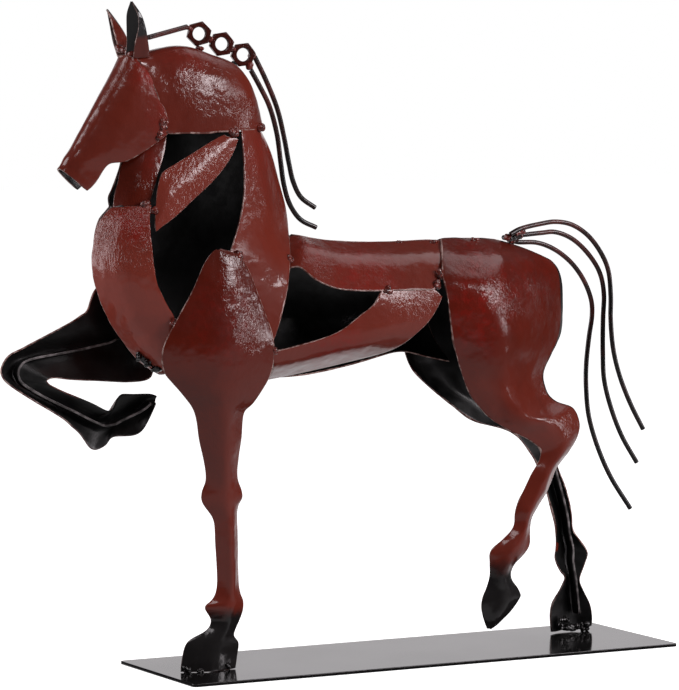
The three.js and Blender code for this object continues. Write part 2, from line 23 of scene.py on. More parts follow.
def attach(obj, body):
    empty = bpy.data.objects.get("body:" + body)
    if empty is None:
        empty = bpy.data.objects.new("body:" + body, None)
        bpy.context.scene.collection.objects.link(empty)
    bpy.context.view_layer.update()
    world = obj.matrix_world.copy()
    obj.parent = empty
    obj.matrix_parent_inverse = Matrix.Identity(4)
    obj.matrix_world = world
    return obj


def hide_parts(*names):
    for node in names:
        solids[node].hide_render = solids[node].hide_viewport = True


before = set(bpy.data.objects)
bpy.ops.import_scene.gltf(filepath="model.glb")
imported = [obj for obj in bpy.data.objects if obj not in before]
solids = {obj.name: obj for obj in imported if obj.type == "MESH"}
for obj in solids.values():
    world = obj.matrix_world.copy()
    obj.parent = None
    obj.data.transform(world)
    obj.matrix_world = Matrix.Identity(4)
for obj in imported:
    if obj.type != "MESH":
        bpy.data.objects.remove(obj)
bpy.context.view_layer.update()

MM = 0.001

# %% [markdown]
# ## The camera
#
# The photograph was taken from a little above the back of the horse, from its front left.
# The base plate is a known rectangle, so its four corners settle where the camera stood. A
# long lens keeps the upright lines nearly parallel. The camera could be tracked to an empty,
# but its axes are written out here, because they are the ones the solving gave.

# %% Camera
CAMERA_TURN = math.radians(-28.2464)      # round the horse, from straight at its near side
CAMERA_RISE = math.radians(4.6029)
CAMERA_AWAY = 2508.756 * MM
CAMERA_AIM = Vector((-43.168, 0.0, 189.446)) * MM
LENS = 219.9                              # mm, on a frame 36 mm high


def direction(turn, rise):
    """The unit vector this far round from the near side and this far above the level."""
    return Vector((math.sin(turn) * math.cos(rise), -math.cos(turn) * math.cos(rise), math.sin(rise)))


towards_camera = direction(CAMERA_TURN, CAMERA_RISE)
camera_right = Vector((math.cos(CAMERA_TURN), math.sin(CAMERA_TURN), 0.0))
camera_up = towards_camera.cross(camera_right)

lens = bpy.data.cameras.new("photo_camera")
lens.sensor_fit = 'VERTICAL'
lens.sensor_height = 36.0
lens.lens = LENS
lens.clip_start, lens.clip_end = 0.1, 100.0
camera = bpy.data.objects.new("photo_camera", lens)
axes = Matrix((camera_right, camera_up, towards_camera)).transposed().to_4x4()
camera.matrix_world = Matrix.Translation(CAMERA_AIM + towards_camera * CAMERA_AWAY) @ axes
bpy.context.scene.collection.objects.link(camera)
bpy.context.scene.camera = camera
print("camera at", [round(v, 3) for v in camera.matrix_world.translation], "metres")

# %% [markdown]
# ## Small tools
#
# Colours are written as sRGB hex values, as a paint card gives them, and one function turns
# them into the linear light that shaders work in. One function adds a node, with its
# settings and its links, to a shader or to a geometry tree. Wherever an input takes a whole
# node, the node stands for the first output that it has in use, which keeps the trees
# short to read. Another function starts a material, and the last one turns an object whose
# modifiers are live into a plain mesh.

# %% Helpers for colours, nodes and finished meshes
def linear(hex_colour):
    """An sRGB colour such as '6b2a22' as linear red, green, blue and alpha."""
    values = [int(hex_colour[i:i + 2], 16) / 255 for i in (0, 2, 4)]
    return [v / 12.92 if v <= 0.04045 else ((v + 0.055) / 1.055) ** 2.4 for v in values] + [1.0]


def set_inputs(node, **inputs):
    """Sets inputs by name, or by number as i0, i1 and so on, to a value, a socket or a node."""
    for name, value in inputs.items():
        key = int(name[1:]) if name[0] == "i" and name[1:].isdigit() else name.replace("_", " ")
        if isinstance(key, str):
            key = next((s.name for s in node.inputs if s.name.lower() == key.lower()), key)
        if isinstance(value, bpy.types.Node):
            value = next(socket for socket in value.outputs if socket.enabled)
        if isinstance(value, bpy.types.NodeSocket):
            node.id_data.links.new(value, node.inputs[key])
        else:
            node.inputs[key].default_value = value


def add_node(tree, kind, settings=None, **inputs):
    """Adds a node. settings are its own properties, and inputs are what it is linked to."""
    node = tree.nodes.new(kind)
    for name, value in (settings or {}).items():
        setattr(node, name, value)
    set_inputs(node, **inputs)
    return node


def new_material(name):
    """A material, the function that adds nodes to it, and its shader."""
    material = bpy.data.materials.new(name)
    material.use_nodes = True
    return material, partial(add_node, material.node_tree), material.node_tree.nodes["Principled BSDF"]


def link_object(name, data):
    piece = bpy.data.objects.new(name, data)
    bpy.context.scene.collection.objects.link(piece)
    return piece


def finished_mesh(piece):
    """Bakes every modifier of the piece into its mesh, and removes them."""
    graph = bpy.context.evaluated_depsgraph_get()
    graph.update()
    mesh = bpy.data.meshes.new_from_object(piece.evaluated_get(graph), depsgraph=graph)
    mesh.name = piece.name
    piece.modifiers.clear()
    if piece.type == 'MESH':
        piece.data = mesh
        return piece
    name = piece.name
    bpy.data.objects.remove(piece)
    return link_object(name, mesh)


# %% [markdown]
# ## Light and floor
#
# The sculpture stands on plain white, with white behind it. What the glossy paint mirrors
# matters as much as what lights it. A wide soft panel stands to the right of the camera
# and a little above it, with a small one below, and a large dim one stands to its left.
# Two more hang high up. The white behind shows in the base plate and along the edges that
# turn away. Towards the camera the room stays dim, so that the paint keeps its deep colour
# there. The floor is white paper that only the camera sees, because in the photograph no
# light comes up from it.

# %% Studio
ROOM_LIGHT, TABLE_LIGHT, BACKDROP_LIGHT = 0.03, 0.36, 0.88
TABLE_EDGES = -0.10, -0.35      # the slope of a view, where the table's light starts and is full
BACKDROP_EDGES = 0.62, 0.88     # how straight a view is at the backdrop's middle, 1 being straight
ROOM_COLOUR = (1.0, 0.965, 0.985, 1.0)
LAMP_COLOUR = (1.0, 0.94, 0.97)
HORSE_MIDDLE = Vector((-30, 0, 220)) * MM
SMOOTH = {"interpolation_type": 'SMOOTHSTEP'}


def make_world():
    """White for the camera. As a light it is dim, apart from the wide backdrop behind the horse."""
    world = bpy.data.worlds.new("white_studio")
    world.use_nodes = True
    world.node_tree.nodes.clear()
    add = partial(add_node, world.node_tree)
    seen = add("ShaderNodeBackground", Color=(1, 1, 1, 1), Strength=1.0)
    way = add("ShaderNodeTexCoord").outputs["Generated"]
    backdrop = Vector((-math.sin(CAMERA_TURN), math.cos(CAMERA_TURN), -0.4)).normalized()
    towards_backdrop = add("ShaderNodeVectorMath", {"operation": 'DOT_PRODUCT'}, i0=way, i1=backdrop)
    height = add("ShaderNodeSeparateXYZ", Vector=way).outputs["Z"]
    table = add("ShaderNodeMapRange", SMOOTH, Value=height, From_Min=TABLE_EDGES[0],
                From_Max=TABLE_EDGES[1], To_Min=ROOM_LIGHT, To_Max=TABLE_LIGHT)
    strength = add("ShaderNodeMapRange", SMOOTH, Value=towards_backdrop.outputs["Value"],
                   From_Min=BACKDROP_EDGES[0], From_Max=BACKDROP_EDGES[1], To_Min=table,
                   To_Max=BACKDROP_LIGHT)
    lighting = add("ShaderNodeBackground", Color=ROOM_COLOUR, Strength=strength)
    camera_ray = add("ShaderNodeLightPath").outputs["Is Camera Ray"]
    mix = add("ShaderNodeMixShader", i0=camera_ray, i1=lighting, i2=seen)
    add("ShaderNodeOutputWorld", Surface=mix)
    bpy.context.scene.world = world


def softbox(name, to_the_right, up, away, width, height, radiance):
    """A panel that faces the horse. The angles are degrees, counted from the camera's direction."""
    facing = direction(math.radians(to_the_right) + CAMERA_TURN, math.radians(up))
    data = bpy.data.lights.new(name, 'AREA')
    data.shape = 'RECTANGLE'
    data.size, data.size_y = width, height
    data.energy = radiance * math.pi * width * height
    data.color = LAMP_COLOUR
    lamp = link_object(name, data)
    lamp.matrix_world = (Matrix.Translation(HORSE_MIDDLE + facing * away)
                         @ facing.to_track_quat('Z', 'Y').to_matrix().to_4x4())


make_world()
softbox("right_panel", 63, 21.5, 2.0, 1.05, 0.5, 12.0)
softbox("low_right_panel", 85, -1, 2.0, 0.36, 0.4, 9.0)
softbox("left_panel", -88, 14, 2.0, 1.2, 1.8, 3.6)
softbox("upper_panel", -10, 44, 2.0, 0.7, 0.5, 4.0)
softbox("top_panel", 119, 57, 1.8, 1.2, 1.0, 1.2)

# White paper: matt, and bright enough by itself that the camera sees plain white.
FLOOR_REACH = 6.0
floor_mesh = bpy.data.meshes.new("floor")
floor_corners = [(x * FLOOR_REACH, y * FLOOR_REACH, 0) for x, y in ((-1, -1), (1, -1), (1, 1), (-1, 1))]
floor_mesh.from_pydata(floor_corners, [], [(0, 1, 2, 3)])
floor = link_object("floor", floor_mesh)
floor.visible_diffuse = False
floor.visible_glossy = False
paper, _, shader = new_material("white_paper_sweep")
set_inputs(shader, Base_Color=linear("f2f2f2"), Roughness=0.9, Specular_IOR_Level=0.1,
           Emission_Color=linear("ffffff"), Emission_Strength=1.0)
floor_mesh.materials.append(paper)

# %% [markdown]
# ## Paint
#
# The outside is steel under a translucent red-brown lacquer, brushed on thick. Hammer marks
# some seven millimetres wide and brush wrinkles of one or two millimetres break every
# reflection into glints, so the look comes mostly from bump and gloss. The colour itself
# shifts between a brown and a brighter red where the lacquer is thinner. Attributes that
# the sheets carry steer it: "tone" makes a whole sheet lighter where its paint is lighter,
# and also holds painted light: the chest and legs turn lighter towards the bottom, where the
# white table lights them, and the throat stays dark as painted shade under the jaw.
# "redness" marks the brighter red places, "soot" turns hooves black, "wrinkle" roughens
# the reflections, and "thin" says where the clear top layer was brushed out so thin that
# little is mirrored.

# %% Lacquer for the sheets
TIMES, PLUS, MINUS, TIMES_PLUS, SCALED = [
    {"operation": name} for name in ('MULTIPLY', 'ADD', 'SUBTRACT', 'MULTIPLY_ADD', 'SCALE')]
COLOURS = {"data_type": 'RGBA'}           # a Mix node then takes its colours at inputs 6 and 7
CLOUD, SHINE, RIPPLE, SPECKLE, WRINKLE = 34, 9, 7, 5, 1.5       # mm across
RIPPLE_HEIGHT, WRINKLE_HEIGHT = 0.9 * MM, 0.55 * MM

LACQUER_DEEP = linear("631b0a")
LACQUER_LIGHT = linear("9c4234")
LACQUER_RED = linear("98160c")
LACQUER_DARK = linear("451710")
SOOT_BLACK = linear("211f1f")


def mottle(add, size, detail=2.0, roughness=0.5, stretch=(1, 1, 1), twist=0.0):
    """A pattern from 0 to 1 whose patches are about this many millimetres across."""
    place = add("ShaderNodeTexCoord").outputs["Object"]
    steps = add("ShaderNodeMapping", Vector=place, Scale=[s / (size * MM) for s in stretch])
    return add("ShaderNodeTexNoise", Vector=steps, Scale=1.0, Detail=detail, Roughness=roughness,
               Distortion=twist)


def soft_patches(add, size, low, high, to_low=0.0, to_high=1.0, **kind):
    """The same pattern, spread until everything below low is to_low and above high is to_high."""
    return add("ShaderNodeMapRange", SMOOTH, Value=mottle(add, size, **kind), From_Min=low, From_Max=high,
               To_Min=to_low, To_Max=to_high)


def lacquer(name, deep=LACQUER_DEEP, dark=LACQUER_DARK, bump=1.0, wrinkled=0.0):
    """The red-brown paint. wrinkled is added to the wrinkles that a sheet's attribute asks for."""
    material, add, shader = new_material(name)
    tone, redness, soot, wrinkle, thin = [
        add("ShaderNodeAttribute", {"attribute_name": attribute}).outputs["Fac"]
        for attribute in ("tone", "redness", "soot", "wrinkle", "thin")]

    clouds = soft_patches(add, CLOUD, 0.38, 0.68, to_high=0.45, detail=3.0, roughness=0.55)
    base = add("ShaderNodeMix", COLOURS, i0=clouds, i6=deep, i7=dark)
    # Mixed towards the light lacquer by "tone": lighter paint, with painted light on the lower chest and legs
    # and painted shade on the throat.
    base = add("ShaderNodeMix", COLOURS, i0=tone, i6=base, i7=LACQUER_LIGHT)
    specks = soft_patches(add, SPECKLE, 0.42, 0.70, to_low=0.4, detail=4.0, roughness=0.6)
    thinner = add("ShaderNodeMath", TIMES, i0=redness, i1=specks)
    base = add("ShaderNodeMix", COLOURS, i0=thinner, i6=base, i7=LACQUER_RED)
    ragged = add("ShaderNodeMath", TIMES, i0=mottle(add, RIPPLE, 3.0), i1=0.3)
    sooty = add("ShaderNodeMapRange", SMOOTH, Value=add("ShaderNodeMath", PLUS, i0=soot, i1=ragged),
                From_Min=0.45, From_Max=0.85)
    base = add("ShaderNodeMix", COLOURS, i0=sooty, i6=base, i7=SOOT_BLACK)

    patchy = soft_patches(add, 2 * RIPPLE, 0.35, 0.6, to_low=0.35)
    asked = add("ShaderNodeMath", PLUS, i0=wrinkle, i1=wrinkled)
    share = add("ShaderNodeMath", TIMES, i0=asked, i1=patchy)
    depth = add("ShaderNodeMath", TIMES_PLUS, i0=share, i1=0.6 * bump, i2=0.1)
    wrinkles = mottle(add, WRINKLE, 2.5, 0.6, stretch=(1.0, 1.0, 0.55), twist=1.1)
    fine = add("ShaderNodeBump", Strength=depth, Distance=WRINKLE_HEIGHT, Height=wrinkles)
    broad = add("ShaderNodeBump", Strength=0.5 * bump, Distance=RIPPLE_HEIGHT,
                Height=mottle(add, RIPPLE, 1.0), Normal=fine)
    gloss = soft_patches(add, SHINE, 0.3, 0.7, 0.35, 0.5, detail=3.0)
    clear = add("ShaderNodeMath", {"operation": 'SUBTRACT', "use_clamp": True}, i0=1.0, i1=thin)
    set_inputs(shader, Base_Color=base, Normal=broad, Coat_Normal=broad, Roughness=gloss, Coat_Weight=clear,
               Coat_Roughness=0.12, Specular_IOR_Level=0.1)
    return material


# Brushed lacquer: a deep soft colour below, and a clear wet gloss on top.
sheet_lacquer = lacquer("red_brown_lacquer_on_hammered_steel")

# %% Black inside, and the cut edges
# Sprayed black paint: half matt, a little greyer where it is thin, rubbed by the hammer.
inside_black, add, shader = new_material("black_paint_on_the_inner_face")
shade = soft_patches(add, 18, 0.35, 0.7, detail=3.0)
black = add("ShaderNodeMix", COLOURS, i0=shade, i6=linear("121212"), i7=linear("212121"))
gloss = soft_patches(add, 6, 0.3, 0.7, 0.3, 0.46, detail=3.0)
rub = add("ShaderNodeBump", Strength=0.25, Distance=0.3 * MM, Height=mottle(add, 2.4, 3.0))
set_inputs(shader, Base_Color=black, Roughness=gloss, Normal=rub)

# Lacquer runs off a sharp edge, so a pale line of thin paint follows every outline; its paleness is partly a
# painted highlight, the light that the edges catch.
cut_edge, add, shader = new_material("lacquer_rubbed_thin_and_painted_highlight_on_the_cut_edge")
wear_and_painted_highlight = soft_patches(add, 4, 0.4, 0.62, detail=3.0, roughness=0.6)
pale = add("ShaderNodeMix", COLOURS, i0=wear_and_painted_highlight, i6=linear("6e3a31"), i7=linear("c4a59d"))
soot = add("ShaderNodeAttribute", {"attribute_name": "soot"}).outputs["Fac"]
sooty = add("ShaderNodeMapRange", SMOOTH, Value=soot, From_Min=0.4, From_Max=1.0, To_Max=0.7)
edge_colour = add("ShaderNodeMix", COLOURS, i0=sooty, i6=pale, i7=SOOT_BLACK)
set_inputs(shader, Base_Color=edge_colour, Roughness=0.3)

# %% [markdown]
# ## From triangles to a smooth, dented sheet
#
# Each sheet arrives as loose triangles. A subdivision surface wants a tidy net of
# four-sided faces, so the copy is merged and its diagonals are taken out. In a regular net
# every triangle has one edge along the rows, one along the columns and one diagonal, and
# across any edge the other two swap over like the sides of a parallelogram. So three
# labels can be walked across a whole face of the sheet, and the family of edges that hardly
# reaches the border is the diagonals. Where a sheet is folded too sharply for that, as the
# ears are, the triangles that are left are joined in pairs.

# %% Take the diagonals out
RIM_TURN = math.radians(55)     # a sheet turns more than this only at its cut edge


def edge_between(a, b):
    return next(edge for edge in a.link_edges if edge.other_vert(a) is b)


def third_corner(face, edge):
    return next(v for v in face.verts if v not in edge.verts)


def is_rim(edge):
    return len(edge.link_faces) < 2 or edge.calc_face_angle(math.pi) > RIM_TURN


def walk_region(start):
    """The faces that hang together without crossing a sharp edge, and the family of each edge."""
    family = {edge: k for k, edge in enumerate(start.edges)}
    region, waiting = {start}, [start]
    while waiting:
        face = waiting.pop()
        for edge in face.edges:
            if is_rim(edge):
                continue
            other = next(f for f in edge.link_faces if f is not face)
            if other in region:
                continue
            p, q = edge.verts
            r, s = third_corner(face, edge), third_corner(other, edge)
            family[edge_between(q, s)] = family[edge_between(p, r)]
            family[edge_between(p, s)] = family[edge_between(q, r)]
            region.add(other)
            waiting.append(other)
    return region, family


def diagonals_of(family):
    """The longest family of edges that has no more than two on the rim."""
    found = []
    for k in range(3):
        edges = [edge for edge, kind in family.items() if kind == k]
        inner = [edge for edge in edges if not is_rim(edge)]
        if inner and len(edges) - len(inner) <= 2:
            found.append((sum(edge.calc_length() for edge in inner) / len(inner), inner))
    return max(found, key=lambda entry: entry[0])[1] if found else []


def sheet_regions(net):
    """Splits the net at its sharp edges. Returns each region with its edge families, largest first."""
    left = set(net.faces)
    found = []
    while left:
        region, family = walk_region(next(face for face in net.faces if face in left))
        left -= region
        found.append((region, family))
    return sorted(found, key=lambda entry: -sum(face.calc_area() for face in entry[0]))


# %% [markdown]
# The two large regions are the faces of the sheet. The one that looks away from the
# body is painted, the other one is black, and what is left is the cut edge. Those three
# are written into the net as a face attribute, so that they survive the subdivision. The
# paint's attributes are written as values on its points. Where one sheet laps another,
# the lower one's rim is slid on beneath the upper one, as a smith lays them for welding.

# %% A tidy net from a solid
OUTSIDE, INSIDE, EDGE = 0, 1, 2
RIM_CREASE, CORNER_CREASE = 0.45, 0.6     # leave the cut edge just round enough to catch the light
SAME_POINT = 0.002 * MM
LAP = 1.2 * MM                            # how far a sheet runs on under the next one
ON_TOP = 0.05 * MM                        # a rim point this near to the other sheet's own stays put


def patches_at(point, patches):
    """The strongest of these round patches here. Each is its x, z and radius in mm, and a strength."""
    strongest = 0.0
    for x, z, radius, strength in patches:
        away = math.hypot(point.x - x, point.z - z) / radius
        strongest = max(strongest, strength * max(0.0, 1.0 - away * away))
    return strongest


def tuck_under(net, other, gap, inset, outwards):
    """Slides the rim that is within gap mm of another sheet on under it, inset mm deeper."""
    cover = bmesh.new()
    cover.from_mesh(solids[other].data)
    surface = BVHTree.FromBMesh(cover)
    inward = -Vector(outwards).normalized()
    moves = {}
    for vert in net.verts:
        if not any(is_rim(edge) for edge in vert.link_edges):
            continue
        nearest, _, _, distance = surface.find_nearest(vert.co)
        if distance > gap * MM:
            continue
        along = nearest - vert.co
        along -= inward * along.dot(inward)
        if along.length > ON_TOP:
            moves[vert] = along + along.normalized() * LAP + inward * inset * MM
    for vert, move in moves.items():
        vert.co += move
    cover.free()
    return len(moves)


def mark_skins(net, outwards):
    """Marks each face as outside, inside or cut edge, creases the rim, and returns the diagonals."""
    skin = net.faces.layers.int.new("skin")
    crease = net.edges.layers.float.new("rim_crease")
    corner = net.verts.layers.float.new("corner_crease")
    regions = sheet_regions(net)
    for number, (region, family) in enumerate(regions):
        facing = sum((face.normal * face.calc_area() for face in region), Vector()).dot(Vector(outwards))
        kind = EDGE if number > 1 else (OUTSIDE if facing > 0 else INSIDE)
        for face in region:
            face[skin] = kind
    for edge in filter(is_rim, net.edges):
        skins = {face[skin] for face in edge.link_faces}
        edge[crease] = RIM_CREASE if len(skins) > 1 else 0.0
        if skins == {EDGE}:
            for vert in edge.verts:
                vert[corner] = CORNER_CREASE
    return [edge for region, family in regions for edge in diagonals_of(family)]


def tidy_net(node, outwards, tone=0.3, soot=None, redness=(), wrinkle=(), thin=(), under=()):
    """A copy of a sheet's mesh as four-sided faces, with its skins, creases and paint attributes."""
    net = bmesh.new()
    net.from_mesh(solids[node].data)
    bmesh.ops.remove_doubles(net, verts=net.verts, dist=SAME_POINT)
    paint = {"tone": tone if callable(tone) else lambda point: tone, "soot": soot or (lambda point: 0.0)}
    for name, patches in (("redness", redness), ("wrinkle", wrinkle), ("thin", thin)):
        paint[name] = partial(patches_at, patches=patches)
    layers = {name: net.verts.layers.float.new(name) for name in paint}
    diagonals = mark_skins(net, outwards)
    bmesh.ops.dissolve_edges(net, edges=diagonals, use_verts=False, use_face_split=False)
    for edge in net.edges:
        edge.seam = is_rim(edge)
    bmesh.ops.join_triangles(net, faces=[face for face in net.faces if len(face.verts) == 3], cmp_seam=True,
                             angle_face_threshold=math.pi, angle_shape_threshold=math.pi,
                             topology_influence=2.0)
    for other, gap, inset in under:
        print(node, "slides", tuck_under(net, other, gap, inset, outwards), "points under", other)
    for vert in net.verts:
        for name, value_at in paint.items():
            vert[layers[name]] = value_at(vert.co / MM)
    mesh = bpy.data.meshes.new(node + "_sheet")
    net.to_mesh(mesh)
    fours = sum(len(face.verts) == 4 for face in net.faces)
    print(node, "faces:", len(net.faces), "four-sided:", fours)
    net.free()
    return mesh


# %% [markdown]
# The tree below is the hammering. It subdivides the net, keeps the creases, and pushes
# each point along its normal by a soft noise the size of a hammer blow. The sheets of the
# real one are dented by hand, so no two dents are alike and a seed for each sheet is enough.
# Every tree of this lesson starts the same way, so one function opens them all.

# %% Geometry Nodes: a hammered sheet
def new_geometry_tree(name, inputs):
    """A tree with these named inputs, the function that adds nodes to it, and its input sockets."""
    tree = bpy.data.node_groups.new(name, 'GeometryNodeTree')
    sockets = tree.interface
    sockets.new_socket("Geometry", in_out='INPUT', socket_type='NodeSocketGeometry')
    for label, kind, value in inputs:
        sockets.new_socket(label, in_out='INPUT', socket_type='NodeSocket' + kind).default_value = value
    sockets.new_socket("Geometry", in_out='OUTPUT', socket_type='NodeSocketGeometry')
    add = partial(add_node, tree)
    return tree, add, add("NodeGroupInput").outputs


def use_tree(piece, tree, **values):
    """Gives the piece a Geometry Nodes modifier, with its inputs set by their identifiers."""
    modifier = piece.modifiers.new(tree.name, 'NODES')
    modifier.node_group = tree
    names = {item.name: item.identifier for item in tree.interface.items_tree
             if item.item_type == 'SOCKET' and item.in_out == 'INPUT'}
    for name, value in values.items():
        modifier[names[name.replace("_", " ")]] = value


def hammered_sheet_tree(name, outside, inside, edge):
    tree, add, given = new_geometry_tree(name, (("Level", 'Int', 3), ("Dent depth", 'Float', 0.0),
                                                ("Dent size", 'Float', 8 * MM), ("Seed", 'Float', 0.0)))
    rims, corners = [add("GeometryNodeInputNamedAttribute", {"data_type": 'FLOAT'}, Name=attribute)
                     for attribute in ("rim_crease", "corner_crease")]
    smooth = add("GeometryNodeSubdivisionSurface", Mesh=given["Geometry"], Level=given["Level"],
                 Edge_Crease=rims, Vertex_Crease=corners)
    scale = add("ShaderNodeMath", {"operation": 'DIVIDE'}, i0=1.0, i1=given["Dent size"])
    blows = add("ShaderNodeTexNoise", {"noise_dimensions": '4D'}, Vector=add("GeometryNodeInputPosition"),
                W=given["Seed"], Scale=scale, Detail=1.5, Roughness=0.4)
    centred = add("ShaderNodeMath", MINUS, i0=blows, i1=0.5)
    push = add("ShaderNodeMath", TIMES, i0=centred, i1=given["Dent depth"])
    offset = add("ShaderNodeVectorMath", SCALED, Vector=add("GeometryNodeInputNormal"), Scale=push)
    moved = add("GeometryNodeSetPosition", Geometry=smooth, Offset=offset)
    shaded = add("GeometryNodeSetShadeSmooth", Geometry=moved)
    result = add("GeometryNodeRealizeInstances", Geometry=shaded)
    for kind, material in ((OUTSIDE, outside), (INSIDE, inside), (EDGE, edge)):
        skin = add("GeometryNodeInputNamedAttribute", {"data_type": 'INT'}, Name="skin")
        here = add("FunctionNodeCompare", {"data_type": 'INT', "operation": 'EQUAL'}, i2=skin, i3=kind)
        result = add("GeometryNodeSetMaterial", Geometry=result, Selection=here, Material=material)
    add("NodeGroupOutput", Geometry=result)
    return tree


hammered_sheet = hammered_sheet_tree("hammered_sheet", sheet_lacquer, inside_black, cut_edge)

# %% [markdown]
# Subdivision pulls a net inwards at its corners, and the outline of a sheet would shrink
# with it. So the net is first stretched: wherever the smooth sheet misses one of the
# measured points, that point of the net is moved the other way by as much. Five rounds
# bring every point back to within a quarter of a millimetre.

# %% Make a sheet from a solid
SHEET_LEVEL = 3
STRETCH_ROUNDS = 5


def points_of(mesh, count):
    places = np.empty(len(mesh.vertices) * 3)
    mesh.vertices.foreach_get("co", places)
    return places.reshape(-1, 3)[:count]


def stretch_net(piece):
    """Moves the net until the smooth sheet meets the measured points. Returns the last miss."""
    count = len(piece.data.vertices)
    measured = points_of(piece.data, count).copy()
    cage = measured.copy()
    for _ in range(STRETCH_ROUNDS):
        graph = bpy.context.evaluated_depsgraph_get()
        graph.update()
        smooth = points_of(piece.evaluated_get(graph).data, count)
        cage += measured - smooth
        piece.data.vertices.foreach_set("co", cage.ravel())
        piece.data.update()
    return float(np.abs(measured - smooth).max())


def hammer(node, outwards, depth=0.35, size=9.0, seed=0.0, slot="red_brown_paint", tree=hammered_sheet,
           **paint):
    """Makes a sheet from its solid. depth and size are those of its dents, in mm."""
    piece = link_object(node + "_sheet", tidy_net(node, outwards, **paint))
    use_tree(piece, tree, Level=SHEET_LEVEL, Dent_depth=0.0)
    error = stretch_net(piece)
    piece.modifiers.clear()
    use_tree(piece, tree, Level=SHEET_LEVEL, Dent_depth=depth * MM, Dent_size=size * MM, Seed=seed)
    piece = finished_mesh(piece)
    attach(piece, "root")
    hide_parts(node)
    print("  outline within", round(error / MM, 3), "mm,", len(piece.data.polygons), "faces")


# %% [markdown]
# ## The sheets
#
# Hooves, ear tips and the ends of the legs are black. How black is worked out from the
# height on the legs that stand, and from the distance to the hoof on the raised foreleg.

# %% Where the paint changes
def fade(value, none, full):
    """0 at none and 1 at full, in proportion between them and flat beyond."""
    return min(1.0, max(0.0, (value - none) / (full - none)))


def between(low, high, below, above):
    """One value below the first height and another above the second, in mm."""
    return lambda point: below + (above - below) * fade(point.z, low, high)


def black_below(full, none):
    return between(full, none, 1.0, 0.0)


def black_above(none, full):
    return between(none, full, 0.0, 1.0)


def black_beyond(none, full):
    """0 nearer to the camera than the first depth y and 1 behind the second, in mm."""
    return lambda point: fade(point.y, none, full)


def black_near(x, z, full, none):
    """1 within the first distance of the point and 0 beyond the second, in mm."""
    return lambda point: fade(math.hypot(point.x - x, point.z - z), none, full)


# %% Head and neck
FRONT, UP, DOWN, REAR = (-1, 0, 0.6), (0, 0, 1), (0, 0, -1), (1, 0, 0)
NEAR, FAR = (0, -1, 0), (0, 1, 0)

hammer("face", FRONT, tone=0.32, depth=0.25, size=12, seed=1,
       redness=[(-172, 352, 16, 0.9), (-166, 326, 14, 0.7)],
       wrinkle=[(-196, 345, 9, 0.5), (-186, 358, 10, 0.8), (-168, 322, 10, 1.2)],
       thin=[(-167, 352, 17, 1.3), (-166, 338, 14, 1.2)])
hammer("crest", UP, under=[("face", 9.0, 1.0)], tone=0.3, depth=1.4, size=12, seed=2,
       redness=[(-150, 362, 20, 0.4)], wrinkle=[(-138, 344, 30, 1.3), (-114, 330, 18, 1.3)],
       thin=[(-117, 345, 17, 1.1)])
hammer("near_ear", REAR, tone=0.0, depth=0.1, size=6, seed=3, soot=black_above(367, 379),
       wrinkle=[(-172, 372, 16, 0.8)])
hammer("far_ear", REAR, tone=0.15, depth=0.1, size=6, seed=4, soot=black_beyond(12, 15),
       wrinkle=[(-180, 372, 16, 0.8)])
# Both throat sheets are kept dark: painted shade under the jaw.
hammer("near_throat", NEAR, under=[("near_chest", 4.0, 0.8), ("face", 3.0, 0.8)], tone=0.05, depth=0.3,
       size=8, seed=5, redness=[(-168, 300, 16, 0.4)], wrinkle=[(-176, 286, 14, 1.0)])
hammer("far_throat", FAR, under=[("far_chest", 4.0, 0.8)], tone=0.05, depth=0.3, size=8, seed=6,
       soot=black_near(-193, 279, 4, 8))
hammer("near_neck_band", NEAR, tone=0.6, depth=0.3, size=7, seed=7, wrinkle=[(-148, 294, 50, 0.55)])
hammer("near_withers", NEAR, under=[("crest", 4.0, 0.9)], tone=0.4, depth=0.25, size=10, seed=8,
       redness=[(-100, 305, 24, 0.3)], wrinkle=[(-96, 268, 22, 0.4), (-116, 300, 14, 0.8)],
       thin=[(-106, 256, 30, 1.2)])
hammer("far_neck", FAR, tone=0.4, depth=0.4, size=10, seed=9, wrinkle=[(-130, 260, 40, 0.8)])
# The chest turns lighter towards its bottom: painted light from the white table below.
hammer("near_chest", NEAR, tone=between(235, 262, 0.9, 0.55), depth=1.2, size=9, seed=10,
       redness=[(-186, 266, 14, 0.9)], wrinkle=[(-187, 258, 24, 3.0)])
hammer("far_chest", FAR, tone=0.7, depth=1.2, size=9, seed=11, wrinkle=[(-186, 250, 26, 2.0)])

# %% Body
hammer("near_back", NEAR, under=[("near_hind_leg", 3.0, 0.9)], tone=0.35, depth=0.4, size=9, seed=12,
       redness=[(-40, 230, 30, 0.6), (-70, 245, 12, 0.5)],
       wrinkle=[(-70, 245, 18, 1.2), (-30, 240, 40, 0.5)])
hammer("near_flank", NEAR, under=[("near_back", 5.0, 0.9)], tone=0.5, depth=0.3, size=10, seed=13,
       redness=[(-58, 186, 22, 0.7)], wrinkle=[(-8, 215, 22, 1.2)])
hammer("far_barrel", FAR, tone=0.4, depth=0.4, size=10, seed=14, wrinkle=[(-40, 225, 40, 0.6)])
hammer("girth", DOWN, tone=0.5, depth=0.3, size=10, seed=15)

# %% Legs
# The standing legs turn lighter towards the bottom: painted light from the white table below.
hammer("near_foreleg", NEAR, tone=between(105, 200, 0.38, 0.0), depth=1.3, size=15, seed=16,
       soot=black_below(25, 48), redness=[(-140, 210, 34, 0.35)],
       wrinkle=[(-134, 236, 16, 0.8), (-122, 201, 17, 1.7), (-129, 221, 13, 1.3), (-130, 120, 60, 0.4)])
hammer("far_foreleg", FAR, tone=0.2, depth=0.4, size=13, seed=17, soot=black_near(-180, 148, 22, 40))
